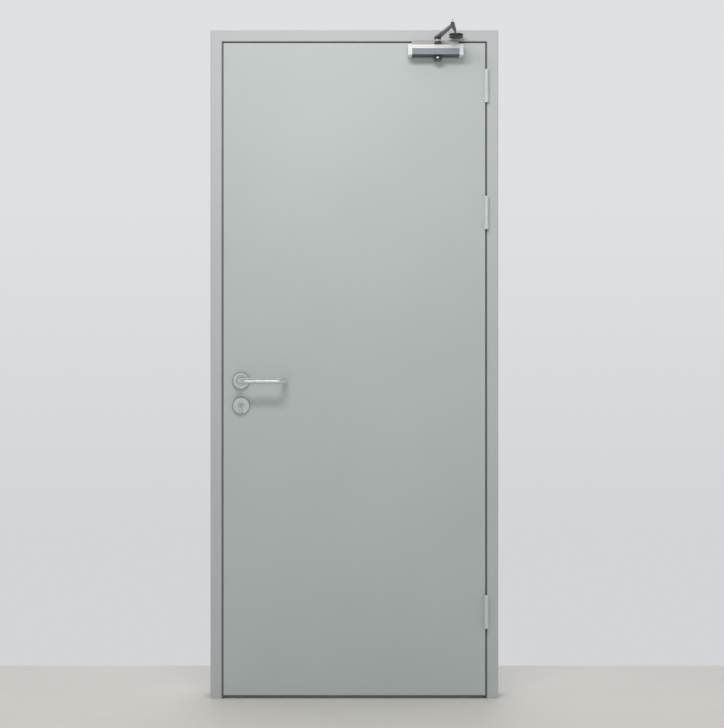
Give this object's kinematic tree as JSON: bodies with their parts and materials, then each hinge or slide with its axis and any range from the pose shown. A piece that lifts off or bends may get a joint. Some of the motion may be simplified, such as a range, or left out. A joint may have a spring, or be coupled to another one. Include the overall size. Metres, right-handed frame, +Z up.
{
  "type": "fire-rated door",
  "caption": "Flush steel fire door hung on butt hinges in a folded steel frame, with lever handles, a cylinder lock and an overhead closer with a folding arm.",
  "frame": {"origin": "centre of the hinge jamb's foot plate, on the floor", "axes": "+X towards the hinge side as seen from the pull side, +Y from the pull side to the push side, +Z up"},
  "size_m": [0.9, 0.363, 2.09],
  "materials": {
    "frame_paint": "satin",
    "leaf_paint": "satin",
    "core_wool": "matte",
    "seal_rubber": "matte",
    "galvanised_steel": "satin",
    "lock_steel": "satin",
    "hinge_steel": "satin",
    "satin_steel": "satin",
    "nickel_brass": "satin",
    "closer_silver": "satin",
    "closer_cap_bright": "gloss",
    "arm_dark": "satin"
  },
  "bodies": {
    "frame": {"hinge_jamb": "frame_paint", "lock_jamb": "frame_paint", "frame_head": "frame_paint", "hinge_jamb_stop": "frame_paint", "lock_jamb_stop": "frame_paint", "frame_head_stop": "frame_paint", "rebate_seal": "seal_rubber", "hinge_jamb_foot": "galvanised_steel", "lock_jamb_foot": "galvanised_steel", "hinge_side_anchors": "galvanised_steel", "lock_side_anchors": "galvanised_steel", "strike_plate": "lock_steel", "lower_hinge_frame_half": "hinge_steel", "middle_hinge_frame_half": "hinge_steel", "upper_hinge_frame_half": "hinge_steel", "lower_hinge_pin": "hinge_steel", "middle_hinge_pin": "hinge_steel", "upper_hinge_pin": "hinge_steel", "shoe_plate": "frame_paint", "closer_shoe": "arm_dark", "shoe_pin": "lock_steel"},
    "leaf": {"leaf_front_tray": "leaf_paint", "leaf_back_sheet": "leaf_paint", "leaf_core": "core_wool", "leaf_bottom_seal": "seal_rubber", "mortise_lock": "lock_steel", "lower_hinge_leaf_half": "hinge_steel", "middle_hinge_leaf_half": "hinge_steel", "upper_hinge_leaf_half": "hinge_steel", "front_rose": "satin_steel", "back_rose": "satin_steel", "front_escutcheon": "satin_steel", "back_escutcheon": "satin_steel", "lock_cylinder": "nickel_brass", "closer_mounting_plate": "frame_paint", "closer_body": "closer_silver", "closer_lock_end_cap": "closer_cap_bright", "closer_hinge_end_cap": "closer_cap_bright", "closer_bottom_cap": "arm_dark"},
    "lever_set": {"front_lever": "satin_steel", "back_lever": "satin_steel", "lever_spindle": "satin_steel"},
    "closer_arm": {"closer_main_arm": "arm_dark", "closer_arm_spindle": "lock_steel"},
    "closer_forearm": {"closer_forearm": "arm_dark"}
  },
  "joints": [
    {"name": "door_swing", "type": "hinge", "parent": "frame", "child": "leaf", "pos_m": [-0.02, -0.038, 0], "axis": [0, 0, 1], "range_deg": [0, 90], "stiffness_Nm_per_rad": 6, "springref_deg": -22.92},
    {"name": "lever_turn", "type": "hinge", "parent": "leaf", "child": "lever_set", "pos_m": [-0.7865, -0.005, 0.994], "axis": [0, 1, 0], "range_deg": [0, 40], "stiffness_Nm_per_rad": 1.2, "springref_deg": -20.05},
    {"name": "closer_arm_turn", "type": "hinge", "parent": "leaf", "child": "closer_arm", "pos_m": [-0.1735, -0.064, 2.058], "axis": [0, 0, 1], "range_deg": [-174, 0]},
    {"name": "forearm_turn", "type": "hinge", "parent": "frame", "child": "closer_forearm", "pos_m": [-0.116, -0.06, 2.06735], "axis": [0, 0, 1], "range_deg": [-16, 0]}
  ],
  "couplings": [
    {"joint": "closer_arm_turn", "follows": "door_swing", "ratio": -1.9185},
    {"joint": "forearm_turn", "follows": "door_swing", "ratio": -0.16316}
  ]
}
